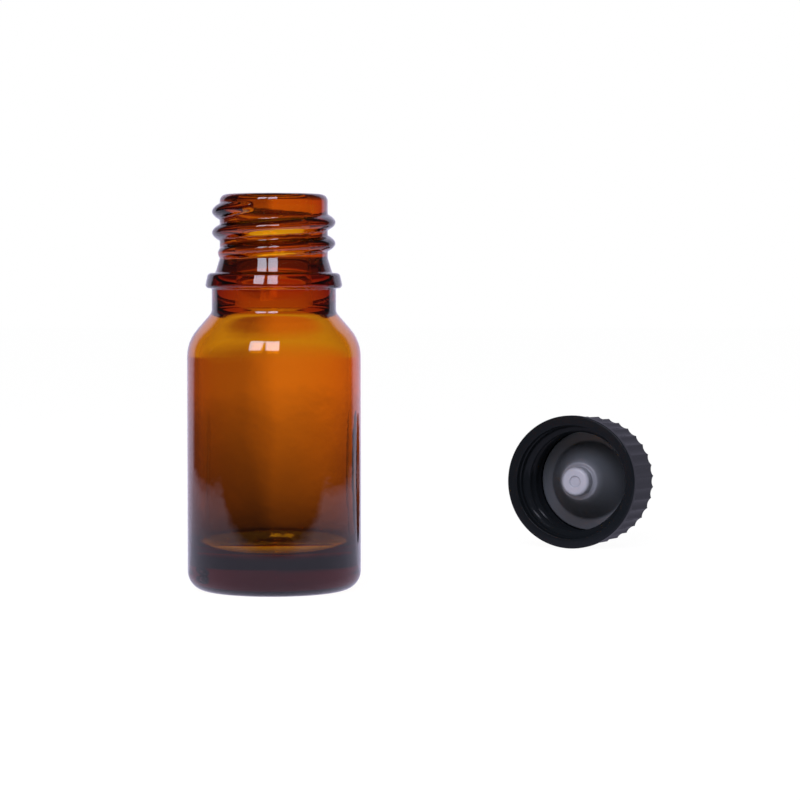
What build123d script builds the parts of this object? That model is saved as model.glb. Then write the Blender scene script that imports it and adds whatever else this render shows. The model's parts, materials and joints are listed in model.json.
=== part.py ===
from build123d import *

import math
import os

# A 10 ml dropper bottle of glass with a screw neck, and its cap taken off and laid beside it.
# Millimetres, +Z up. The origin is the middle of the bottle's base, on the surface it stands on.

# Bottle, outside
bottle_height = 56.5
body_radius = 12.4
heel_radius = 2.75
punt_radius = 9.0
punt_height = 1.1
shoulder_lean = 40.7
shoulder_round = 6.0
shoulder_top = 39.7
shoulder_foot_round = 1.2
neck_radius = 8.86
collar_radius = 9.85
collar_bottom = 43.1
collar_height = 2.2
collar_draft = 0.45
collar_round = 0.5
flare_width = 0.65
flare_height = 2.1
flare_round = 1.6
finish_radius = 7.7
lip_outer_round = 1.0
corner_round = 0.2

# Bottle, inside
body_wall = 1.55
bore_radius = 5.45
lip_inner_round = 1.0
bore_foot_round = 2.4
inner_shoulder_round = 5.0
base_thickness = 4.2
bowl_depth = 8.0

# Screw thread, right hand, one start
thread_pitch = 3.0
thread_height = 1.1
thread_width = 2.1
thread_turns = 2.2
thread_start = 2.7
thread_start_angle = 180.0
thread_step = 20.0
thread_fade = 60.0
thread_end_share = 0.12
thread_root_sink = 0.3

# Cap
cap_height = 12.4
cap_top_wall = 1.2
cap_skirt_wall = 1.2
cap_closed_round = 0.8
rib_count = 36
rib_depth = 0.3
rib_tip_width = 0.25
band_height = 1.5
band_step = 0.3
band_round = 0.3
mouth_wall = 1.6
mouth_depth = 1.4
mouth_round = 0.15
cap_thread_clearance = 0.35
cap_thread_height = 1.0
cap_thread_width = 1.3
cap_thread_turns = 2.3
cap_thread_start = 3.5
cap_thread_start_angle = 75.0

# Liner
liner_thickness = 1.0
liner_side_clearance = 0.15
liner_recess_spare = 0.3
liner_grip = 0.25
liner_wall = 0.9
cone_foot_radius = 6.5
cone_top_radius = 3.1
cone_height = 5.7
nipple_radius = 2.35
nipple_height = 8.0
nipple_round = 0.6
dimple_radius = 0.9
dimple_depth = 0.4
dimple_round = 0.2
nipple_foot_round = 0.25
cone_top_round = 0.4
cone_foot_round = 0.5
liner_edge_round = 0.2

# Where the cap lies
cap_spot_x = 46.0
cap_spot_y = 59.0
cap_turn = 22.0


def thread_share(angle, sweep):
    """Height of the ridge at an angle along it, as a share of the full height: it fades at both ends."""
    from_end = min(angle, sweep - angle, thread_fade) / thread_fade
    return thread_end_share + (1 - thread_end_share) * math.sin(math.radians(90 * from_end))


def thread_sections(wall_radius, outward, height, width, turns, start_z, start_angle):
    """Slices of a round-crested helical ridge on a cylindrical wall, from its low end to its high end."""
    sections = []
    sweep = 360 * turns
    steps = round(sweep / thread_step)
    for step in range(steps + 1):
        angle = sweep * step / steps
        share = thread_share(angle, sweep)
        radial = Vector(1, 0, 0).rotate(Axis.Z, start_angle + angle)
        origin = radial * wall_radius + Vector(0, 0, start_z + thread_pitch * angle / 360)
        crest = height * share
        half_width = width / 2 * (1 + share) / 2
        crest_round = (crest**2 + half_width**2) / (2 * crest)
        foot = math.sqrt(crest_round**2 - (thread_root_sink + crest - crest_round) ** 2)
        with BuildSketch(Plane(origin, x_dir=radial * outward, z_dir=radial.rotate(Axis.Z, 90))) as section:
            with BuildLine():
                ThreePointArc((-thread_root_sink, -foot), (crest, 0), (-thread_root_sink, foot))
                Line((-thread_root_sink, foot), (-thread_root_sink, -foot))
            make_face()
        sections.append(section.sketch)
    return sections


os.makedirs("parts", exist_ok=True)

# Bottle: one revolved wall of glass with the thread on its neck
lean = math.radians(shoulder_lean)
shoulder_corner = shoulder_top - (body_radius - neck_radius) / math.tan(lean)
collar_top = collar_bottom + collar_height
flare_radius = finish_radius + flare_width
inner_radius = body_radius - body_wall
inner_corner = shoulder_corner - body_wall * math.tan(lean / 2)
bore_foot = inner_corner + (inner_radius - bore_radius) / math.tan(lean)
cavity_floor = punt_height + base_thickness
bowl_rim = cavity_floor + bowl_depth

with BuildPart() as bottle:
    with BuildSketch(Plane.XZ):
        with BuildLine():
            TangentArc((0, punt_height), (punt_radius, 0), tangent=(1, 0))
            FilletPolyline(
                (punt_radius, 0),
                (body_radius, 0),
                (body_radius, shoulder_corner),
                (neck_radius, shoulder_top),
                (neck_radius, collar_bottom),
                (collar_radius, collar_bottom),
                (collar_radius - collar_draft, collar_top),
                (flare_radius, collar_top),
                (finish_radius, collar_top + flare_height),
                (finish_radius, bottle_height),
                (bore_radius, bottle_height),
                (bore_radius, bore_foot),
                (inner_radius, inner_corner),
                (inner_radius, bowl_rim),
                radius=(
                    heel_radius,
                    shoulder_round,
                    shoulder_foot_round,
                    corner_round,
                    collar_round,
                    collar_round,
                    corner_round,
                    flare_round,
                    lip_outer_round,
                    lip_inner_round,
                    bore_foot_round,
                    inner_shoulder_round,
                ),
            )
            EllipticalCenterArc((0, bowl_rim), inner_radius, bowl_depth, start_angle=270, arc_size=90)
            Line((0, cavity_floor), (0, punt_height))
        make_face()
    revolve(axis=Axis.Z)
    ridge = thread_sections(
        finish_radius,
        1,
        thread_height,
        thread_width,
        thread_turns,
        collar_top + thread_start,
        thread_start_angle,
    )
    loft(ridge)
bottle.part.label = "bottle"

# Cap, standing on its closed end with its mouth up
cap_crest_radius = finish_radius + thread_height - cap_thread_height + cap_thread_clearance
cap_root_radius = cap_crest_radius + cap_thread_height
liner_radius = cap_crest_radius + liner_grip
recess_radius = liner_radius + liner_side_clearance
recess_top = cap_top_wall + liner_thickness + liner_recess_spare
recess_ramp = cap_root_radius - recess_radius
rib_radius = cap_root_radius + cap_skirt_wall + rib_depth
band_radius = rib_radius + band_step
mouth_radius = band_radius - mouth_wall
mouth_floor = cap_height - mouth_depth
mouth_ramp = mouth_radius - cap_root_radius
rib_top = cap_height - band_height
flute_width = 2 * math.pi * rib_radius / rib_count - rib_tip_width
flute_round = (rib_depth**2 + (flute_width / 2) ** 2) / (2 * rib_depth)

with BuildPart() as screw_cap:
    with BuildSketch(Plane.XZ):
        with BuildLine():
            FilletPolyline(
                (0, 0),
                (rib_radius, 0),
                (rib_radius, rib_top),
                (band_radius, rib_top),
                (band_radius, cap_height),
                (mouth_radius, cap_height),
                (mouth_radius, mouth_floor),
                (cap_root_radius, mouth_floor - mouth_ramp),
                (cap_root_radius, recess_top + recess_ramp),
                (recess_radius, recess_top),
                (recess_radius, cap_top_wall),
                (0, cap_top_wall),
                radius=(cap_closed_round, 0, band_round / 2, band_round, mouth_round, 0, 0, 0, 0, 0),
            )
            Line((0, cap_top_wall), (0, 0))
        make_face()
    revolve(axis=Axis.Z)
    with BuildSketch():
        with PolarLocations(rib_radius - rib_depth + flute_round, rib_count):
            Circle(flute_round)
    extrude(amount=rib_top, mode=Mode.SUBTRACT)
    ridge = thread_sections(
        cap_root_radius,
        -1,
        cap_thread_height,
        cap_thread_width,
        cap_thread_turns,
        cap_thread_start,
        cap_thread_start_angle,
    )
    loft(ridge)
screw_cap.part.label = "screw_cap"

# Liner, on the floor of the cap: a disc with a hollow stepped cone
disc_bottom = cap_top_wall
disc_top = disc_bottom + liner_thickness
cone_top = disc_top + cone_height
nipple_top = disc_top + nipple_height

with BuildPart() as cone_liner:
    with BuildSketch(Plane.XZ):
        with BuildLine():
            FilletPolyline(
                (0, nipple_top - dimple_depth),
                (dimple_radius, nipple_top - dimple_depth),
                (dimple_radius, nipple_top),
                (nipple_radius, nipple_top),
                (nipple_radius, cone_top),
                (cone_top_radius, cone_top),
                (cone_foot_radius, disc_top),
                (liner_radius, disc_top),
                (liner_radius, disc_bottom),
                (cone_foot_radius - liner_wall, disc_bottom),
                (cone_top_radius - liner_wall, cone_top - liner_wall),
                (nipple_radius - liner_wall, cone_top - liner_wall),
                (nipple_radius - liner_wall, nipple_top - dimple_depth - liner_wall),
                (0, nipple_top - dimple_depth - liner_wall),
                radius=(
                    0,
                    dimple_round,
                    nipple_round,
                    nipple_foot_round,
                    cone_top_round,
                    cone_foot_round,
                    liner_edge_round,
                    liner_edge_round,
                    0,
                    0,
                    0,
                    0,
                ),
            )
            Line((0, nipple_top - dimple_depth - liner_wall), (0, nipple_top - dimple_depth))
        make_face()
    revolve(axis=Axis.Z)
cone_liner.part.label = "cone_liner"

# The cap lies on its side with its mouth to the front: the band's edge and two ribs touch the floor,
# and because the band is the wider, the mouth looks up a little
rib_rest_radius = rib_radius * math.cos(math.pi / rib_count)
rest_tilt = math.atan2(band_radius - rib_rest_radius, rib_top - cap_closed_round)
turn = math.radians(cap_turn)
mouth_direction = Vector(
    -math.sin(turn) * math.cos(rest_tilt),
    -math.cos(turn) * math.cos(rest_tilt),
    math.sin(rest_tilt),
)
across = Vector(math.cos(turn), -math.sin(turn), 0)
cap_place = Plane(
    Vector(cap_spot_x, cap_spot_y, 0) - mouth_direction * cap_height,
    x_dir=across,
    z_dir=mouth_direction,
).location
screw_cap.part.move(cap_place)
cone_liner.part.move(cap_place)
floor_drop = Location((0, 0, -screw_cap.part.bounding_box().min.Z))
screw_cap.part.locate(floor_drop * screw_cap.part.location)
cone_liner.part.locate(floor_drop * cone_liner.part.location)

mouth_centre = floor_drop * cap_place * Location((0, 0, cap_height))
print("cap mouth centre", mouth_centre.position, "direction", mouth_direction)

export_step(bottle.part, "parts/bottle.step")
export_step(screw_cap.part, "parts/screw_cap.step")
export_step(cone_liner.part, "parts/cone_liner.step")
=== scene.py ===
"""Studio scene of a small amber dropper bottle, open, with its screw cap laid beside it.

Sizes are in millimetres and degrees unless a line says otherwise. The bottle stands at the origin of the
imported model, and the cap lies where its joint in that model is.
"""

import json
import logging
import math
from dataclasses import dataclass, field
from enum import Enum

import bpy
from mathutils import Matrix, Vector, noise


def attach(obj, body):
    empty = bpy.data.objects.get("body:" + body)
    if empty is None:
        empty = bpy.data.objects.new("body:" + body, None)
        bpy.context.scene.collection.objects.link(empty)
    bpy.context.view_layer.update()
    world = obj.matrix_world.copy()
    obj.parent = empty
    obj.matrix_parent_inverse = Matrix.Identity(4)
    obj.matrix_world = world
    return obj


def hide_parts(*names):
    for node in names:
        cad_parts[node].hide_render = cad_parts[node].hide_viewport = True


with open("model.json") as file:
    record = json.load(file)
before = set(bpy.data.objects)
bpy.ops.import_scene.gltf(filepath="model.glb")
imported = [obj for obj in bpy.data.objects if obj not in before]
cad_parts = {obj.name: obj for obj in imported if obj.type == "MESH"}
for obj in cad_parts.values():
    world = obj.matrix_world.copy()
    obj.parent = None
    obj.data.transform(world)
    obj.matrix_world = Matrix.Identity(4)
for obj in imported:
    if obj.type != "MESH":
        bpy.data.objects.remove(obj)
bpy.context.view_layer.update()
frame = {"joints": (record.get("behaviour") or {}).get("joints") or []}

MM = 0.001
ON_AXIS = 1e-6
MERGE_DISTANCE = 1e-6
# Sockets of a colour mix node, whose names the node uses more than once
MIX_FIRST, MIX_SECOND, MIX_RESULT = 6, 7, 2
WHITE = (1.0, 1.0, 1.0, 1.0)
PLASTIC_IOR = 1.5
log = logging.getLogger("dropper_bottle")

Colour = tuple[float, float, float, float]
Socket = bpy.types.NodeSocket


class Slot(Enum):
    """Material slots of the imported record."""

    GLASS = "amber_glass"
    CAP = "black_plastic"
    LINER = "liner_plastic"


class Facing(Enum):
    """Which way a screw thread's ridge stands out of its wall."""

    OUTWARD = 1
    INWARD = -1


@dataclass(frozen=True)
class Corner:
    """One corner of an outline, in millimetres.

    Args:
        radius: Distance from the axis of the turned piece.
        height: Height along that axis.
        rounding: Radius that rounds this corner.
        step: Longest piece of the run that follows this corner.
    """

    radius: float
    height: float
    rounding: float = 0.0
    step: float = 0.6

    @property
    def point(self) -> Vector:
        """The corner as a point of the X-Z half plane."""
        return Vector((self.radius, 0.0, self.height))


def arc_points(before: Vector, corner: Corner, after: Vector, arc_step: float) -> list[Vector]:
    """Rounds one corner with a tangent arc.

    Args:
        before: The outline's last corner before this one.
        corner: The corner to round.
        after: The outline's next corner.
        arc_step: Longest turn between two points of the arc, in degrees.

    Returns:
        The arc's points in order, or the bare corner where it has no rounding.
    """
    if corner.rounding <= 0.0:
        return [corner.point]
    towards_before = (before - corner.point).normalized()
    towards_after = (after - corner.point).normalized()
    opening = towards_before.angle(towards_after)
    reach = corner.rounding / math.tan(opening / 2)
    middle = (towards_before + towards_after).normalized()
    centre = corner.point + middle * (corner.rounding / math.sin(opening / 2))
    start = corner.point + towards_before * reach - centre
    end = corner.point + towards_after * reach - centre
    count = max(2, math.ceil(math.degrees(math.pi - opening) / arc_step))
    return [centre + turned(start, end, i / count) for i in range(count + 1)]


def turned(start: Vector, end: Vector, share: float) -> Vector:
    """Turns one radius towards another.

    Args:
        start: The radius to turn.
        end: The radius that it turns towards.
        share: How far it turns, as a share of the angle between them.

    Returns:
        The turned radius.
    """
    angle = start.angle(end) * share
    across = (end - start * (start.dot(end) / start.length_squared)).normalized() * start.length
    return start * math.cos(angle) + across * math.sin(angle)


def outline(corners: list[Corner], arc_step: float = 7.5) -> list[Vector]:
    """Lays points along a rounded outline.

    Args:
        corners: The outline's corners in order; the first and last are its ends.
        arc_step: Longest turn between two points of an arc, in degrees.

    Returns:
        Points in metres, with each straight run divided by its corner's step.
    """
    knots: list[tuple[Vector, float]] = [(corners[0].point, corners[0].step)]
    for before, corner, after in zip(corners, corners[1:], corners[2:]):
        arc = arc_points(before.point, corner, after.point, arc_step)
        knots += [(point, corner.step) for point in arc]
    knots.append((corners[-1].point, corners[-1].step))
    points = [knots[0][0]]
    for (start, step), (end, _) in zip(knots, knots[1:]):
        count = max(1, math.ceil((end - start).length / step))
        points += [start.lerp(end, i / count) for i in range(1, count + 1)]
    return [point * MM for point in points]


@dataclass(frozen=True)
class ScrewThread:
    """A single-start right-hand ridge on a round wall, in millimetres and degrees.

    Args:
        facing: Whether the ridge stands out of the wall or into the bore.
        wall: Radius of the wall that carries the ridge.
        height: How far the crest stands off the wall.
        width: Width of the ridge at its foot.
        pitch: Rise in one turn.
        low: Height of the ridge's middle at its low end.
        turns: Number of turns.
        start: Angle of the low end about the axis.
        fade: Angle over which the ridge rises at either end.
        end_share: Width of the ridge at its very ends, as a share of its full width.
        crest_power: Power that rounds the ridge's section; a smaller one makes it fuller.
    """

    facing: Facing
    wall: float
    height: float
    width: float
    pitch: float
    low: float
    turns: float
    start: float
    fade: float = 60.0
    end_share: float = 0.55
    crest_power: float = 0.75

    def lift(self, angle: float, z: float) -> float:
        """Gives how far the ridge stands off the wall.

        Args:
            angle: Angle about the axis, in degrees.
            z: Height along the axis, in millimetres.

        Returns:
            The lift at that place, in millimetres: below zero where the ridge stands into the bore.
        """
        sweep = 360.0 * self.turns
        along = (angle - self.start) % 360.0
        best = 0.0
        while along <= sweep:
            offset = abs(z - self.low - self.pitch * along / 360.0)
            from_end = min(1.0, along / self.fade, (sweep - along) / self.fade)
            share = math.sin(math.radians(90.0 * from_end))
            half = self.width / 2 * (self.end_share + (1 - self.end_share) * share)
            if share > 0.0 and offset < half:
                section = math.cos(math.pi / 2 * offset / half) ** self.crest_power
                best = max(best, self.height * share * section)
            along += 360.0
        return best * self.facing.value


def select_only(obj: bpy.types.Object) -> None:
    """Selects one object and makes it active.

    Args:
        obj: The object.
    """
    bpy.ops.object.select_all(action="DESELECT")
    obj.select_set(True)
    bpy.context.view_layer.objects.active = obj


def spun(name: str, points: list[Vector], segments: int) -> bpy.types.Object:
    """Extrudes a vertex along an outline and spins it round the Z axis.

    Args:
        name: Name of the new piece.
        points: The outline, in metres, from the axis back to the axis.
        segments: Number of steps in the full turn.

    Returns:
        The closed mesh object, at the origin.
    """
    bpy.ops.object.select_all(action="DESELECT")
    bpy.ops.mesh.primitive_plane_add(size=MM, location=(0, 0, 0))
    obj = bpy.context.object
    obj.name = obj.data.name = name
    bpy.ops.object.mode_set(mode="EDIT")
    bpy.ops.mesh.merge(type="CENTER")
    bpy.ops.transform.translate(value=points[0])
    for start, end in zip(points, points[1:]):
        bpy.ops.mesh.extrude_vertices_move(TRANSFORM_OT_translate={"value": end - start})
    bpy.ops.mesh.select_all(action="SELECT")
    bpy.ops.mesh.spin(steps=segments, angle=math.tau, center=(0, 0, 0), axis=(0, 0, 1))
    bpy.ops.mesh.select_all(action="SELECT")
    bpy.ops.mesh.remove_doubles(threshold=MERGE_DISTANCE)
    bpy.ops.mesh.normals_make_consistent(inside=False)
    bpy.ops.object.mode_set(mode="OBJECT")
    bpy.ops.object.shade_smooth()
    return obj


def place(obj: bpy.types.Object, matrix: Matrix) -> None:
    """Moves a piece and applies the move to its mesh.

    Args:
        obj: The piece, at the origin.
        matrix: Where it goes.
    """
    obj.matrix_world = matrix
    select_only(obj)
    bpy.ops.object.transform_apply(location=True, rotation=True, scale=True)


def dress(
    obj: bpy.types.Object, material: bpy.types.Material, body: str, node: str
) -> None:
    """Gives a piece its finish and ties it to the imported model.

    Args:
        obj: The finished piece.
        material: Its finish.
        body: The body that carries it.
        node: The node that it stands for.
    """
    obj.data.materials.clear()
    obj.data.materials.append(material)
    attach(obj, body)
    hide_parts(node)
    log.info("%s: %d faces on %s", obj.name, len(obj.data.polygons), body)


class Shader:
    """The node tree of a material, a world or a group, with short calls to add and link nodes."""

    def __init__(self, name: str) -> None:
        """Makes a new material with nothing but its output.

        Args:
            name: Name of the material.
        """
        self.material = bpy.data.materials.new(name)
        self.material.use_nodes = True
        self.tree = self.material.node_tree
        self.tree.nodes.clear()
        self.output = self.tree.nodes.new("ShaderNodeOutputMaterial")

    @classmethod
    def on(cls, tree: bpy.types.NodeTree, output: str) -> "Shader":
        """Takes up the node tree of a world or of a group.

        Args:
            tree: The node tree, which is emptied.
            output: Blender's identifier of its output node.

        Returns:
            The shader, with nothing but its output.
        """
        shader = cls.__new__(cls)
        shader.tree = tree
        shader.tree.nodes.clear()
        shader.output = shader.tree.nodes.new(output)
        return shader

    def add(self, kind: str, **settings: object) -> bpy.types.Node:
        """Adds a node and sets its properties and its inputs.

        Args:
            kind: Blender's identifier of the node.
            **settings: Node properties, or inputs with spaces written as underscores; an input's value may
                be a socket, which is linked.

        Returns:
            The new node.
        """
        node = self.tree.nodes.new(kind)
        for key, value in settings.items():
            if hasattr(node, key):
                setattr(node, key, value)
            else:
                self.feed(node.inputs[key.replace("_", " ")], value)
        return node

    def feed(self, target: Socket, value: object) -> None:
        """Sets an input.

        Args:
            target: The input.
            value: A plain value, or the socket to link it to.
        """
        if isinstance(value, Socket):
            self.tree.links.new(value, target)
        else:
            target.default_value = value

    def combined(self, operation: str, first: Socket, second: Socket | float = 0.0) -> Socket:
        """Combines two values.

        Args:
            operation: Blender's identifier of the operation.
            first: The first value.
            second: The second value, where the operation takes one.

        Returns:
            The result's socket.
        """
        node = self.add("ShaderNodeMath", operation=operation)
        self.feed(node.inputs[0], first)
        self.feed(node.inputs[1], second)
        return node.outputs["Value"]

    def over_depth(self, part: Socket, split: bpy.types.Node) -> Socket:
        """Divides one part of a place or direction by how far it lies before or behind the object."""
        return self.combined("DIVIDE", part, self.combined("ABSOLUTE", split.outputs["Y"]))

    def ramp(
        self,
        value: Socket,
        source: tuple[float, float],
        target: tuple[float, float] = (0.0, 1.0),
        smooth: bool = False,
    ) -> Socket:
        """Maps a value from one range to another, held at the ends.

        Args:
            value: The value.
            source: The range that it comes in.
            target: The range that it goes to.
            smooth: Whether the change eases in and out.

        Returns:
            The result's socket.
        """
        return self.add(
            "ShaderNodeMapRange",
            interpolation_type="SMOOTHSTEP" if smooth else "LINEAR",
            Value=value,
            From_Min=source[0],
            From_Max=source[1],
            To_Min=target[0],
            To_Max=target[1],
        ).outputs["Result"]

    def between(self, first: Colour | Socket, second: Colour | Socket, share: Socket) -> Socket:
        """Mixes two colours.

        Args:
            first: The colour where the second has no share.
            second: The colour where it has all.
            share: The second colour's share.

        Returns:
            The colour's socket.
        """
        node = self.add("ShaderNodeMix", data_type="RGBA", Factor=share)
        self.feed(node.inputs[MIX_FIRST], first)
        self.feed(node.inputs[MIX_SECOND], second)
        return node.outputs[MIX_RESULT]

    def layered(self, below: Socket, above: Socket, share: Socket) -> Socket:
        """Lays one surface over another.

        Args:
            below: The lower surface.
            above: The upper surface.
            share: The upper surface's share.

        Returns:
            The surface's socket.
        """
        node = self.add("ShaderNodeMixShader", Fac=share)
        self.feed(node.inputs[1], below)
        self.feed(node.inputs[2], above)
        return node.outputs["Shader"]


@dataclass(frozen=True)
class Unevenness:
    """Unevenness of a moulded surface, from one node group that all finishes share.

    Args:
        scale: How many of its waves or grains lie on a metre.
        detail: How many finer layers it has.
        coarseness: How strong those layers are.
        share: How much of its depth shows.
        depth: Its depth, in metres.
    """

    scale: float
    detail: float
    coarseness: float
    share: float = 1.0
    depth: float = 0.0

    @staticmethod
    def group() -> bpy.types.NodeTree:
        """Builds the node group, or finds it once it is built.

        Returns:
            The group, which gives a height from none to one over the surface.
        """
        name = "moulded_unevenness"
        if name in bpy.data.node_groups:
            return bpy.data.node_groups[name]
        group = bpy.data.node_groups.new(name, "ShaderNodeTree")
        for value in ("Scale", "Detail", "Coarseness"):
            group.interface.new_socket(name=value, in_out="INPUT", socket_type="NodeSocketFloat")
        group.interface.new_socket(name="Height", in_out="OUTPUT", socket_type="NodeSocketFloat")
        shader = Shader.on(group, "NodeGroupOutput")
        given = shader.add("NodeGroupInput").outputs
        waves = shader.add(
            "ShaderNodeTexNoise",
            Vector=shader.add("ShaderNodeTexCoord").outputs["Object"],
            Scale=given["Scale"],
            Detail=given["Detail"],
            Roughness=given["Coarseness"],
        )
        shader.feed(shader.output.inputs["Height"], waves.outputs["Fac"])
        return group

    def height(self, shader: Shader) -> Socket:
        """Adds the unevenness to a finish.

        Args:
            shader: The finish's shader.

        Returns:
            The height's socket.
        """
        return shader.add(
            "ShaderNodeGroup",
            node_tree=self.group(),
            Scale=self.scale,
            Detail=self.detail,
            Coarseness=self.coarseness,
        ).outputs["Height"]

    def normal(self, shader: Shader) -> Socket:
        """Adds the unevenness to a finish as relief.

        Args:
            shader: The finish's shader.

        Returns:
            The normal's socket.
        """
        bump = shader.add(
            "ShaderNodeBump", Strength=self.share, Distance=self.depth, Height=self.height(shader)
        )
        return bump.outputs["Normal"]


@dataclass(frozen=True)
class AmberGlass:
    """Clear amber container glass, tinted by its depth.

    Args:
        tint: Colour whose distance from white is taken up by the glass.
        density: How strongly it is taken up, per metre.
        roughness: Roughness of the surface.
        refraction: Index of refraction.
        shadow_pass: Share of the light that a wall lets into the shadow.
        ripple: Slight ripples of the moulded surface.
    """

    tint: Colour = (0.912, 0.741, 0.0, 1.0)
    density: float = 1700.0
    roughness: float = 0.015
    refraction: float = 1.52
    shadow_pass: float = 0.95
    ripple: Unevenness = Unevenness(scale=220.0, detail=3.0, coarseness=0.5, share=1.0, depth=0.000022)

    def material(self) -> bpy.types.Material:
        """Builds the glass material.

        Returns:
            The material.
        """
        shader = Shader("amber_glass")
        surface = shader.add(
            "ShaderNodeBsdfPrincipled",
            Base_Color=WHITE,
            Roughness=self.roughness,
            IOR=self.refraction,
            Transmission_Weight=1.0,
            Normal=self.ripple.normal(shader),
        )
        clear = (self.shadow_pass, self.shadow_pass, self.shadow_pass, 1.0)
        passing = shader.add("ShaderNodeBsdfTransparent", Color=clear)
        shadow = shader.add("ShaderNodeLightPath").outputs["Is Shadow Ray"]
        skin = shader.layered(surface.outputs["BSDF"], passing.outputs["BSDF"], shadow)
        depth = shader.add("ShaderNodeVolumeAbsorption", Color=self.tint, Density=self.density)
        shader.feed(shader.output.inputs["Surface"], skin)
        shader.feed(shader.output.inputs["Volume"], depth.outputs["Volume"])
        return shader.material


@dataclass(frozen=True)
class BlackPlastic:
    """Black moulded plastic with a thin satin gloss.

    Args:
        colour: Colour of the plastic.
        smoothest: Roughness where the surface is smoothest.
        roughest: Roughness where it is roughest.
        gloss: Weight of the thin gloss.
        gloss_roughness: Roughness of that gloss.
        grain: Grain of the mould's texture.
        patches: Smoother and rougher patches.
    """

    colour: Colour = (0.009, 0.011, 0.0135, 1.0)
    smoothest: float = 0.18
    roughest: float = 0.32
    gloss: float = 0.2
    gloss_roughness: float = 0.14
    grain: Unevenness = Unevenness(scale=2600.0, detail=3.0, coarseness=0.6, share=0.2, depth=0.00003)
    patches: Unevenness = Unevenness(scale=260.0, detail=2.0, coarseness=0.5)

    def material(self) -> bpy.types.Material:
        """Builds the cap's material.

        Returns:
            The material.
        """
        shader = Shader("black_plastic")
        grain = self.grain.normal(shader)
        patches = self.patches.height(shader)
        surface = shader.add(
            "ShaderNodeBsdfPrincipled",
            Base_Color=self.colour,
            Roughness=shader.ramp(patches, (0.0, 1.0), (self.smoothest, self.roughest)),
            IOR=PLASTIC_IOR,
            Specular_IOR_Level=0.0,
            Coat_Weight=self.gloss,
            Coat_Roughness=self.gloss_roughness,
            Normal=grain,
            Coat_Normal=grain,
        )
        shader.feed(shader.output.inputs["Surface"], surface.outputs["BSDF"])
        return shader.material


@dataclass(frozen=True)
class SoftLiner:
    """Milky, soft polyethylene. Painted shade makes it greyer over the dark cap, and painted light makes it
    lighter towards the thick tip.

    Args:
        disc_shade_colour: Colour of the disc, darkened with painted shade where the cap shows through.
        tip_light_colour: Colour of the tip, made lighter with painted light.
        roughness: Roughness of the moulded surface.
        passing: Share of the light that goes into the plastic.
        tip_light_from: Height above the disc at which the painted light towards the tip starts, in
            millimetres.
        tip_light_to: Height above the disc at which the painted light is full and the colour is the tip's, in
            millimetres.
        dents: Soft dents of the surface.
    """

    disc_shade_colour: Colour = (0.15, 0.163, 0.185, 1.0)
    tip_light_colour: Colour = (0.62, 0.63, 0.72, 1.0)
    roughness: float = 0.34
    passing: float = 0.35
    tip_light_from: float = 4.0
    tip_light_to: float = 8.2
    dents: Unevenness = Unevenness(scale=500.0, detail=2.0, coarseness=0.5, share=0.25, depth=0.00004)

    def material(self, where_it_lies: "CapPlace") -> bpy.types.Material:
        """Builds the liner's material.

        Args:
            where_it_lies: Where the cap lies, for the direction that the colour changes in.

        Returns:
            The material.
        """
        shader = Shader("liner_plastic")
        along = shader.add("ShaderNodeVectorMath", operation="DOT_PRODUCT")
        shader.feed(along.inputs[0], shader.add("ShaderNodeTexCoord").outputs["Object"])
        shader.feed(along.inputs[1], where_it_lies.axis)
        face = where_it_lies.mouth.dot(where_it_lies.axis) - where_it_lies.depth_to_disc * MM
        change = (face + self.tip_light_from * MM, face + self.tip_light_to * MM)
        # Painted light and shade: the base colour goes from the shaded disc colour to the lit tip colour
        # along the cap's axis.
        painted_lightness = shader.ramp(along.outputs["Value"], change, smooth=True)
        surface = shader.add(
            "ShaderNodeBsdfPrincipled",
            Base_Color=shader.between(self.disc_shade_colour, self.tip_light_colour, painted_lightness),
            Roughness=self.roughness,
            IOR=PLASTIC_IOR,
            Transmission_Weight=self.passing,
            Normal=self.dents.normal(shader),
        )
        shader.feed(shader.output.inputs["Surface"], surface.outputs["BSDF"])
        return shader.material


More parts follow.
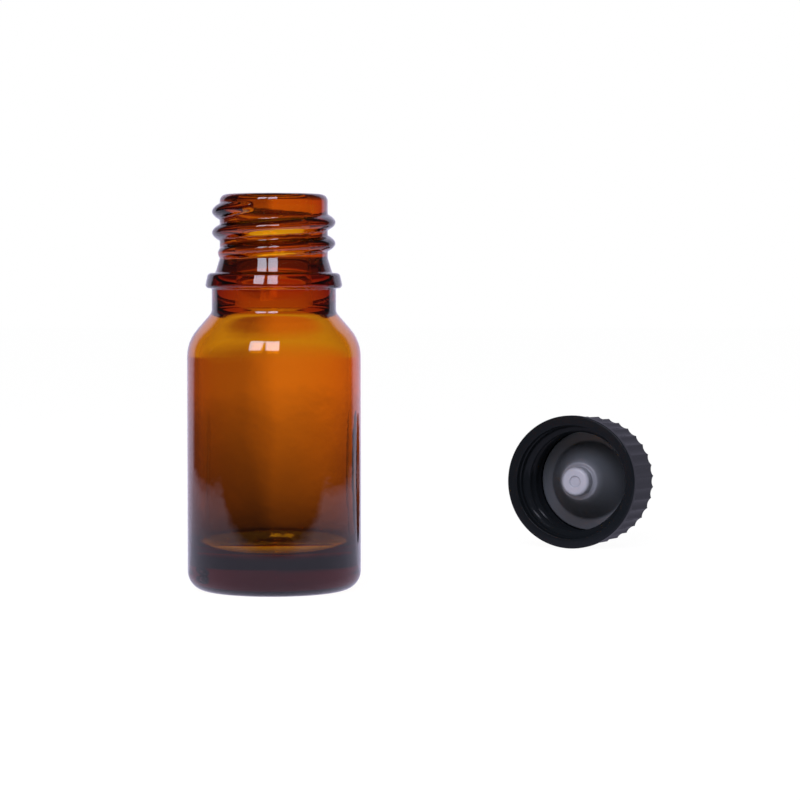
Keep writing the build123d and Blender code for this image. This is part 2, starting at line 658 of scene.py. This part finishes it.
@dataclass
class GlassBottle:
    """The bottle: one turned wall of glass with a screw thread on its neck.

    Its inner wall has the slow waves of blown glass, of the size wave_size and the height wave.
    """

    # Outside
    height: float = 56.5
    body: float = 12.4
    heel: float = 2.75
    foot_ring: float = 0.65
    punt_height: float = 1.1
    punt_flat: float = 0.35
    lean: float = 40.7
    shoulder_round: float = 6.0
    neck_length: float = 3.4
    neck: float = 8.86
    finish_height: float = 13.4
    collar: float = 9.85
    collar_height: float = 2.2
    collar_draft: float = 0.45
    finish: float = 7.7
    flare_width: float = 0.65
    flare_height: float = 2.1
    # Inside
    wall: float = 1.55
    bore: float = 5.45
    bore_length: float = 13.6
    bore_foot: float = 6.2
    base_thickness: float = 4.2
    # Roundings
    punt_round: float = 6.0
    foot_round: float = 0.3
    neck_round: float = 1.2
    collar_foot_round: float = 0.25
    collar_round: float = 0.5
    collar_top_round: float = 0.6
    flare_foot_round: float = 0.3
    flare_round: float = 1.6
    lip_round: float = 1.0
    bore_round: float = 3.0
    bore_foot_round: float = 2.4
    inner_shoulder_round: float = 5.0
    floor_round: float = 2.2
    # Steps of the mesh
    segments: int = 216
    neck_step: float = 0.16
    edge_step: float = 0.3
    lower_neck_step: float = 0.4
    wall_step: float = 0.7
    # Screw thread
    thread_height: float = 1.1
    thread_width: float = 2.2
    thread_pitch: float = 3.0
    thread_low_gap: float = 2.7
    thread_top_gap: float = 1.9
    thread_start: float = 180.0
    # Waves of the inner wall, and how near a point counts as on a wall
    wave: float = 0.05
    wave_size: float = 6.0
    wave_stretch: float = 0.55
    wave_fade: float = 8.0
    wall_slack: float = 0.02
    floor_slack: float = 1.0

    @property
    def collar_bottom(self) -> float:
        """Height of the collar's lower edge."""
        return self.height - self.finish_height

    @property
    def collar_top(self) -> float:
        """Height of the collar's upper edge."""
        return self.collar_bottom + self.collar_height

    @property
    def shoulder_top(self) -> float:
        """Height at which the shoulder meets the lower neck."""
        return self.collar_bottom - self.neck_length

    def corners(self) -> list[Corner]:
        """Lists the outline's corners.

        Returns:
            The corners, from the hollow under the base, up the outside and down the inside.
        """
        slope = math.tan(math.radians(self.lean))
        shoulder_corner = self.shoulder_top - (self.body - self.neck) / slope
        inner = self.body - self.wall
        inner_corner = shoulder_corner - self.wall * math.tan(math.radians(self.lean) / 2)
        bore_end = inner_corner + (inner - self.bore_foot) / slope
        floor = self.punt_height + self.base_thickness
        punt = self.body - self.heel - self.foot_ring
        return [
            Corner(0.0, self.punt_height),
            Corner(punt * self.punt_flat, self.punt_height, self.punt_round, self.wall_step),
            Corner(punt, 0.0, self.foot_round, self.edge_step),
            Corner(self.body, 0.0, self.heel, self.wall_step),
            Corner(self.body, shoulder_corner, self.shoulder_round, self.wall_step),
            Corner(self.neck, self.shoulder_top, self.neck_round, self.lower_neck_step),
            Corner(self.neck, self.collar_bottom, self.collar_foot_round, self.edge_step),
            Corner(self.collar, self.collar_bottom, self.collar_round, self.edge_step),
            Corner(self.collar - self.collar_draft, self.collar_top, self.collar_top_round, self.edge_step),
            Corner(self.finish + self.flare_width, self.collar_top, self.flare_foot_round, self.neck_step),
            Corner(self.finish, self.collar_top + self.flare_height, self.flare_round, self.neck_step),
            Corner(self.finish, self.height, self.lip_round, self.neck_step),
            Corner(self.bore, self.height, self.lip_round, self.wall_step),
            Corner(self.bore, self.height - self.bore_length, self.bore_round, self.wall_step),
            Corner(self.bore_foot, bore_end, self.bore_foot_round, self.wall_step),
            Corner(inner, inner_corner, self.inner_shoulder_round, self.wall_step),
            Corner(inner, floor, self.floor_round, self.wall_step),
            Corner(0.0, floor),
        ]

    def thread(self) -> ScrewThread:
        """Gives the neck's screw thread.

        Returns:
            The thread, from above the collar to below the lip.
        """
        low = self.collar_top + self.thread_low_gap
        return ScrewThread(
            facing=Facing.OUTWARD,
            wall=self.finish,
            height=self.thread_height,
            width=self.thread_width,
            pitch=self.thread_pitch,
            low=low,
            turns=(self.height - self.thread_top_gap - low) / self.thread_pitch,
            start=self.thread_start,
        )

    def shape_wall(self, obj: bpy.types.Object) -> None:
        """Raises the thread on the neck and gives the blown inside its slow waves.

        Args:
            obj: The turned bottle, at the origin.
        """
        thread = self.thread()
        for vertex in obj.data.vertices:
            x, y, z = (c / MM for c in vertex.co)
            radius = math.hypot(x, y)
            if radius < ON_AXIS:
                continue
            lift = 0.0
            if z > self.collar_top and radius > self.finish - self.wall_slack:
                lift = thread.lift(math.degrees(math.atan2(y, x)), z)
            elif self.inside(radius, z):
                fade = min(1.0, (self.shoulder_top - z) / self.wave_fade)
                spot = Vector((x, y, z * self.wave_stretch)) / self.wave_size
                lift = self.wave * fade * noise.noise(spot)
            vertex.co.x *= 1 + lift / radius
            vertex.co.y *= 1 + lift / radius

    def inside(self, radius: float, z: float) -> bool:
        """Tells whether a point of the mesh belongs to the inner wall below the neck."""
        low = self.punt_height + self.floor_slack
        return low < z < self.shoulder_top and radius < self.body - self.wall + self.wall_slack

    def build(self, glass: bpy.types.Material) -> None:
        """Models the bottle and dresses it.

        Args:
            glass: The finish.
        """
        obj = spun("bottle_glass", outline(self.corners()), self.segments)
        self.shape_wall(obj)
        dress(obj, glass, "bottle", "bottle")


@dataclass
class CapPlace:
    """Where the cap lies, read from the joint that its liner turns on.

    Args:
        mouth: The middle of its mouth, in metres.
        axis: The direction in which it opens.
        height: Its height, from the closed end to the mouth.
        depth_to_disc: How deep the liner's disc lies under the mouth.
    """

    mouth: Vector = field(default_factory=Vector)
    axis: Vector = field(default_factory=Vector)
    height: float = 12.4
    depth_to_disc: float = 10.2

    @classmethod
    def from_frame(cls) -> "CapPlace":
        """Reads the mouth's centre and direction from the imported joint.

        Returns:
            The cap's place.
        """
        joint = next(j for j in frame["joints"] if j["name"] == "liner_turn")
        return cls(Vector(joint["pos_m"]), Vector(joint["axis"]).normalized())

    def matrix(self) -> Matrix:
        """Gives the move that lays the cap down.

        Returns:
            The move, from the cap's own frame with the closed end down to where it lies.
        """
        across = Vector((0, 0, 1)).cross(self.axis).normalized() * -1
        up = self.axis.cross(across)
        turn = Matrix((across, up, self.axis)).transposed().to_4x4()
        return Matrix.Translation(self.mouth - self.axis * self.height * MM) @ turn


@dataclass
class ScrewCap:
    """The ribbed cap with its female thread, with its closed end at zero height."""

    height: float = 12.4
    top_wall: float = 1.2
    crest: float = 8.15
    root: float = 9.15
    recess: float = 8.55
    recess_top: float = 2.5
    rib: float = 10.65
    rib_depth: float = 0.3
    rib_count: int = 36
    columns_per_rib: int = 8
    band: float = 10.95
    band_height: float = 1.5
    mouth: float = 9.35
    mouth_depth: float = 1.4
    band_rise: float = 0.15
    entry_slope: float = 0.2
    ledge_slope: float = 0.6
    # Roundings
    closed_round: float = 0.8
    rib_end_round: float = 0.12
    band_foot_round: float = 0.2
    band_round: float = 0.25
    mouth_round: float = 0.15
    entry_round: float = 0.12
    root_round: float = 0.1
    ledge_round: float = 0.2
    floor_round: float = 0.15
    # Steps of the mesh
    wall_step: float = 0.16
    rib_end_step: float = 0.1
    ledge_step: float = 0.2
    edge_step: float = 0.3
    band_step: float = 0.4
    floor_step: float = 0.8
    end_step: float = 1.0
    # Screw thread
    thread_width: float = 1.5
    thread_pitch: float = 3.0
    thread_low: float = 3.5
    thread_turns: float = 2.3
    thread_start: float = 75.0
    # Flutes, and how near a point counts as on the skirt, under the band, on the ledge or on the wall
    flute_power: float = 0.75
    flute_run_out: float = 0.7
    skirt_slack: float = 0.6
    band_slack: float = 0.2
    ledge_slack: float = 0.3
    wall_slack: float = 0.05

    @property
    def rib_top(self) -> float:
        """Height at which the ribs end under the band."""
        return self.height - self.band_height

    @property
    def mouth_floor(self) -> float:
        """Height of the step inside the mouth."""
        return self.height - self.mouth_depth

    def corners(self) -> list[Corner]:
        """Lists the outline's corners.

        Returns:
            The corners, from the closed end, up the skirt and down the inside.
        """
        return [
            Corner(0.0, 0.0, 0.0, self.end_step),
            Corner(self.rib, 0.0, self.closed_round, self.edge_step),
            Corner(self.rib, self.rib_top, self.rib_end_round, self.rib_end_step),
            Corner(self.band, self.rib_top + self.band_rise, self.band_foot_round, self.edge_step),
            Corner(self.band, self.height, self.band_round, self.band_step),
            Corner(self.mouth, self.height, self.mouth_round, self.band_step),
            Corner(self.mouth, self.mouth_floor, self.entry_round, self.ledge_step),
            Corner(self.root, self.mouth_floor - self.entry_slope, self.root_round, self.wall_step),
            Corner(self.root, self.recess_top + self.ledge_slope, self.ledge_round, self.ledge_step),
            Corner(self.recess, self.recess_top, self.root_round, self.edge_step),
            Corner(self.recess, self.top_wall, self.floor_round, self.floor_step),
            Corner(0.0, self.top_wall),
        ]

    def thread(self) -> ScrewThread:
        """Gives the cap's female thread.

        Returns:
            The thread, from above the liner to below the mouth.
        """
        return ScrewThread(
            facing=Facing.INWARD,
            wall=self.root,
            height=self.root - self.crest,
            width=self.thread_width,
            pitch=self.thread_pitch,
            low=self.thread_low,
            turns=self.thread_turns,
            start=self.thread_start,
        )

    def flute(self, column: int) -> float:
        """Gives the depth of the grip's flute at a column of the mesh, as a share of its full depth."""
        share = ((column + self.columns_per_rib // 2) % self.columns_per_rib) / self.columns_per_rib
        return math.sin(math.pi * share) ** self.flute_power

    def shape_wall(self, obj: bpy.types.Object) -> None:
        """Presses the flutes into the skirt and raises the thread inside.

        Args:
            obj: The turned cap, at the origin.
        """
        thread = self.thread()
        columns = self.rib_count * self.columns_per_rib
        for vertex in obj.data.vertices:
            x, y, z = (c / MM for c in vertex.co)
            radius = math.hypot(x, y)
            if radius < ON_AXIS:
                continue
            angle = math.degrees(math.atan2(y, x))
            lift = 0.0
            if radius > self.root + self.skirt_slack and z < self.rib_top + self.band_slack:
                column = round(angle / 360.0 * columns)
                fade = min(1.0, max(0.0, (self.rib_top - z) / self.flute_run_out))
                lift = -self.rib_depth * self.flute(column) * math.sqrt(fade)
            elif self.on_bore(radius, z):
                lift = thread.lift(angle, z)
            vertex.co.x *= 1 + lift / radius
            vertex.co.y *= 1 + lift / radius

    def on_bore(self, radius: float, z: float) -> bool:
        """Tells whether a point of the mesh belongs to the wall that carries the thread."""
        low = self.recess_top + self.ledge_slack
        return low < z < self.mouth_floor and radius < self.root + self.wall_slack

    def build(self, plastic: bpy.types.Material, where: CapPlace) -> None:
        """Models the cap and dresses it where it lies.

        Args:
            plastic: The finish.
            where: Where the cap lies.
        """
        obj = spun("cap_shell", outline(self.corners()), self.rib_count * self.columns_per_rib)
        self.shape_wall(obj)
        place(obj, where.matrix())
        dress(obj, plastic, "cap", "screw_cap")


@dataclass
class ConeLiner:
    """The cap's soft liner: a disc with a hollow stepped cone."""

    bottom: float = 1.2
    thickness: float = 1.0
    disc: float = 8.4
    foot: float = 6.5
    top: float = 3.1
    cone_height: float = 5.7
    nipple: float = 2.35
    nipple_height: float = 8.0
    wall: float = 0.9
    dimple: float = 0.9
    dimple_depth: float = 0.4
    # Roundings
    dimple_round: float = 0.2
    nipple_round: float = 0.6
    nipple_foot_round: float = 0.25
    cone_top_round: float = 0.4
    cone_foot_round: float = 0.5
    disc_round: float = 0.2
    hollow_round: float = 0.2
    hollow_tip_round: float = 0.3
    # Steps of the mesh
    segments: int = 128
    dimple_step: float = 0.2
    outer_step: float = 0.3
    hollow_step: float = 0.4

    def corners(self) -> list[Corner]:
        """Lists the outline's corners.

        Returns:
            The corners, from the tip, over the cone and the disc, and back up the hollow.
        """
        face = self.bottom + self.thickness
        step = face + self.cone_height
        tip = face + self.nipple_height
        floor = tip - self.dimple_depth
        return [
            Corner(0.0, floor, 0.0, self.dimple_step),
            Corner(self.dimple, floor, self.dimple_round, self.dimple_step),
            Corner(self.dimple, tip, self.dimple_round, self.dimple_step),
            Corner(self.nipple, tip, self.nipple_round, self.outer_step),
            Corner(self.nipple, step, self.nipple_foot_round, self.outer_step),
            Corner(self.top, step, self.cone_top_round, self.outer_step),
            Corner(self.foot, face, self.cone_foot_round, self.outer_step),
            Corner(self.disc, face, self.disc_round, self.outer_step),
            Corner(self.disc, self.bottom, self.disc_round, self.hollow_step),
            Corner(self.foot - self.wall, self.bottom, self.hollow_round, self.hollow_step),
            Corner(self.top - self.wall, step - self.wall, self.hollow_round, self.hollow_step),
            Corner(self.nipple - self.wall, step - self.wall, 0.0, self.hollow_step),
            Corner(self.nipple - self.wall, floor - self.wall, self.hollow_tip_round, self.hollow_step),
            Corner(0.0, floor - self.wall),
        ]

    def build(self, plastic: bpy.types.Material, where: CapPlace) -> None:
        """Models the liner and dresses it in the cap.

        Args:
            plastic: The finish.
            where: Where the cap lies.
        """
        obj = spun("liner_cone", outline(self.corners()), self.segments)
        place(obj, where.matrix())
        dress(obj, plastic, "liner", "cone_liner")


@dataclass
class Studio:
    """Floor, lights, world and the camera at the photograph's viewing angle, in metres and degrees.

    The floor and the world are white to the eye. Gloss shows a bright backdrop behind the object, a white
    sheet round it and a dark room in front. Glass shows the sheet with painted shade, darkest near the object
    and on the left and growing lighter with distance, and the sky above it growing white.

    Args:
        distance: How far the camera stands in front of the object.
        eye_height: Its height over the floor.
        side: How far it stands to the right.
        tilt: How far it looks down.
        lens: Its focal length, in millimetres.
        sensor: Width of its sensor, in millimetres.
        nearest: Distance from which it sees.
        fill: Strength of the even light.
        floor_size: Side of the square floor.
        floor_colour: Brightness of its matte part.
        floor_glow: Share of the floor's own glow to the eye; the rest is matte and takes the shadow.
        floor_white: Strength of that glow.
        daylight: Colour of the backdrop and the sheet in gloss.
        room: Colour of the room in gloss.
        backdrop_edge: How far a direction points away behind the object where the backdrop starts, and
            where it is at its full brightness.
        sheet_front: Where the sheet ends in front of the object.
        sheet_side: How far the sheet reaches to either side.
        front_blur: Half the width of the sheet's front edge.
        side_blur: Half the width of the sheet's side edges.
        sheet_share: Brightness of the sheet in gloss, as a share of the backdrop's.
        behind_slant: Depth over width at which the floor behind starts to be backdrop, and is all backdrop.
        sheet_in_glass: Colour of the sheet through glass.
        glass_shade_reach: Distance at which the painted shade on the sheet through glass starts to lift, and
            where it is gone.
        glass_shade_darkest: Brightness of the painted shade where it starts.
        glass_shade_curve: Power of the painted shade's change; a smaller one is quicker at first.
        shaded_left_brightness: Brightness of the left side through glass, under painted shade, as a share of
            the right side's.
        shaded_left_slant: Width over depth at which the painted shade on that side is at its darkest, and
            where it is gone.
        sky_rise: Height over depth at which the sky is white through glass.
        window_colour: Colour of the two windows.
        window_power: Power of each, in watts.
        window_size: Width and height of each.
        window_middle: The place midway between them.
        window_row: The direction in which they hang side by side.
        window_offset: How far each hangs from that place.
        window_aim: The place that they face.
    """

    distance: float = 0.400
    eye_height: float = 0.045
    side: float = 0.018
    tilt: float = 2.556
    lens: float = 126.0
    sensor: float = 36.0
    nearest: float = 0.01
    fill: float = 0.35
    floor_size: float = 4.0
    floor_colour: float = 0.95
    floor_glow: float = 0.91
    floor_white: float = 1.06
    daylight: Colour = (0.84, 0.80, 1.06, 1.0)
    room: Colour = (0.05, 0.045, 0.05, 1.0)
    backdrop_edge: tuple[float, float] = (0.56, 0.70)
    sheet_front: float = -0.075
    sheet_side: float = 0.20
    front_blur: float = 0.012
    side_blur: float = 0.03
    sheet_share: float = 0.8
    behind_slant: tuple[float, float] = (0.68, 0.98)
    sheet_in_glass: tuple[float, float, float] = (1.0, 0.52, 0.5)
    glass_shade_reach: tuple[float, float] = (0.085, 0.75)
    glass_shade_darkest: float = 0.004
    glass_shade_curve: float = 0.65
    shaded_left_brightness: float = 0.5
    shaded_left_slant: tuple[float, float] = (-0.10, -0.035)
    sky_rise: float = 0.12
    window_colour: tuple[float, float, float] = (0.84, 0.85, 1.0)
    window_power: float = 1.35
    window_size: tuple[float, float] = (0.165, 0.26)
    window_middle: tuple[float, float, float] = (-0.095, -0.455, 0.345)
    window_row: tuple[float, float, float] = (0.979, -0.204, 0.0)
    window_offset: float = 0.1
    window_aim: tuple[float, float, float] = (0.0, 0.0, 0.035)

    def camera(self) -> None:
        """Sets the camera."""
        bpy.ops.object.camera_add(
            location=(self.side, -self.distance, self.eye_height),
            rotation=(math.radians(90 - self.tilt), 0, 0),
        )
        camera = bpy.context.object
        camera.data.lens = self.lens
        camera.data.sensor_width = self.sensor
        camera.data.clip_start = self.nearest
        bpy.context.scene.camera = camera

    def world(self) -> None:
        """Sets the surround: even light, white to the eye, a backdrop in gloss, the sheet's sky in glass."""
        world = bpy.data.worlds.new("studio")
        bpy.context.scene.world = world
        world.use_nodes = True
        tree = Shader.on(world.node_tree, "ShaderNodeOutputWorld")
        where = tree.add("ShaderNodeTexCoord").outputs["Generated"]
        split = tree.add("ShaderNodeSeparateXYZ", Vector=where)
        behind = tree.ramp(split.outputs["Y"], self.backdrop_edge, smooth=True)
        steps = (
            ("Is Glossy Ray", tree.between(self.room, self.daylight, behind)),
            ("Is Transmission Ray", self.sky_in_glass(tree, split)),
            ("Is Camera Ray", WHITE),
        )
        path = tree.add("ShaderNodeLightPath")
        even = tree.add("ShaderNodeBackground", Color=(self.fill, self.fill, self.fill, 1.0))
        surface = even.outputs["Background"]
        for ray, colour in steps:
            glow = tree.add("ShaderNodeBackground", Color=colour)
            surface = tree.layered(surface, glow.outputs["Background"], path.outputs[ray])
        tree.feed(tree.output.inputs["Surface"], surface)

    def floor(self) -> None:
        """Lays the pale floor, white to the eye but for the object's soft shadow."""
        bpy.ops.object.select_all(action="DESELECT")
        bpy.ops.mesh.primitive_plane_add(size=self.floor_size, location=(0, 0, 0))
        floor = bpy.context.object
        floor.name = "floor"
        shader = Shader("floor")
        shade = self.floor_colour
        matte = shader.add("ShaderNodeBsdfDiffuse", Color=(shade, shade, shade, 1.0))
        spot = shader.add("ShaderNodeNewGeometry").outputs["Position"]
        split = shader.add("ShaderNodeSeparateXYZ", Vector=spot)
        steps = (
            ("Is Glossy Ray", self.floor_in_gloss(shader, split), 1.0, 1.0),
            ("Is Transmission Ray", self.floor_in_glass(shader, spot, split), 1.0, 1.0),
            ("Is Camera Ray", WHITE, self.floor_glow, self.floor_white),
        )
        path = shader.add("ShaderNodeLightPath")
        surface = matte.outputs["BSDF"]
        for ray, colour, share, strength in steps:
            glow = shader.add("ShaderNodeEmission", Color=colour, Strength=strength)
            part = shader.combined("MULTIPLY", path.outputs[ray], share)
            surface = shader.layered(surface, glow.outputs["Emission"], part)
        shader.feed(shader.output.inputs["Surface"], surface)
        floor.data.materials.append(shader.material)

    def sky_in_glass(self, tree: Shader, split: bpy.types.Node) -> Socket:
        """Gives the world's colour through glass: the sheet's own at the horizon, with painted shade on the
        left, white above it.

        Args:
            tree: The world's shader.
            split: The node that gives the looking direction's parts.

        Returns:
            The colour's socket.
        """
        height = tree.over_depth(split.outputs["Z"], split)
        low = self.tinted(tree, self.painted_left_shade(tree, split))
        return tree.between(low, WHITE, tree.ramp(height, (0.0, self.sky_rise), smooth=True))

    def painted_left_shade(self, tree: Shader, split: bpy.types.Node) -> Socket:
        """Gives painted shade through glass: the surround is darker on the left than on the right, by slant
        from the object.
        """
        slant = tree.over_depth(split.outputs["X"], split)
        return tree.ramp(slant, self.shaded_left_slant, (self.shaded_left_brightness, 1.0), smooth=True)

    def tinted(self, tree: Shader, brightness: Socket) -> Socket:
        """Gives the sheet's warm colour through glass.

        Args:
            tree: The shader that gets the node.
            brightness: How bright it is.

        Returns:
            The colour's socket.
        """
        colour = tree.add("ShaderNodeVectorMath", operation="SCALE", Scale=brightness)
        tree.feed(colour.inputs[0], self.sheet_in_glass)
        return colour.outputs["Vector"]

    def floor_in_gloss(self, shader: Shader, split: bpy.types.Node) -> Socket:
        """Gives the floor's colour in reflections.

        A white sheet ends in front of the object and at either side; far behind, it widens into the backdrop.

        Args:
            shader: The floor's shader.
            split: The node that gives the place's parts.

        Returns:
            The colour's socket.
        """
        width = shader.combined("ABSOLUTE", split.outputs["X"])
        front_edge = (self.sheet_front - self.front_blur, self.sheet_front + self.front_blur)
        side_edge = (self.sheet_side - self.side_blur, self.sheet_side + self.side_blur)
        front = shader.ramp(split.outputs["Y"], front_edge)
        side = shader.ramp(width, side_edge, (self.sheet_share, 0.0))
        sheet = shader.combined("MULTIPLY", front, side)
        slant = shader.combined("DIVIDE", split.outputs["Y"], width)
        behind = shader.ramp(slant, self.behind_slant, smooth=True)
        return shader.between(self.room, self.daylight, shader.combined("MAXIMUM", sheet, behind))

    def floor_in_glass(self, shader: Shader, spot: Socket, split: bpy.types.Node) -> Socket:
        """Gives the floor's colour through glass, with painted shade: darkest near the object and on the
        left, lighter away from it and to the right.

        Args:
            shader: The floor's shader.
            spot: The place on the floor.
            split: The node that gives the place's parts.

        Returns:
            The colour's socket.
        """
        reach = shader.add("ShaderNodeVectorMath", operation="LENGTH")
        shader.feed(reach.inputs[0], spot)
        # Painted shade: through glass the floor is darkest near the object and grows lighter with distance.
        painted_lightness = shader.ramp(reach.outputs["Value"], self.glass_shade_reach, (self.glass_shade_darkest, 1.0))
        curved = shader.combined("POWER", painted_lightness, self.glass_shade_curve)
        return self.tinted(shader, shader.combined("MULTIPLY", curved, self.painted_left_shade(shader, split)))

    def window(self, name: str, offset: float) -> None:
        """Hangs one soft rectangular lamp.

        Args:
            name: Name of the lamp.
            offset: How far it hangs to the right of the windows' middle.
        """
        centre = Vector(self.window_middle) + Vector(self.window_row) * offset
        bpy.ops.object.light_add(type="AREA", location=centre)
        lamp = bpy.context.object
        lamp.name = name
        lamp.data.shape = "RECTANGLE"
        lamp.data.size, lamp.data.size_y = self.window_size
        lamp.data.energy = self.window_power
        lamp.data.color = self.window_colour
        lamp.rotation_euler = (Vector(self.window_aim) - centre).to_track_quat("-Z", "Y").to_euler()

    def build(self) -> None:
        """Sets up the whole studio."""
        self.camera()
        self.world()
        self.floor()
        self.window("window_left", -self.window_offset)
        self.window("window_right", self.window_offset)
        bpy.context.scene.view_settings.view_transform = "Standard"


def main() -> None:
    """Builds the studio and the three pieces, in order."""
    logging.basicConfig(level=logging.INFO, format="%(name)s %(message)s")
    Studio().build()
    where = CapPlace.from_frame()
    GlassBottle().build(AmberGlass().material())
    ScrewCap().build(BlackPlastic().material(), where)
    ConeLiner().build(SoftLiner().material(where), where)


if __name__ == "__main__":
    main()
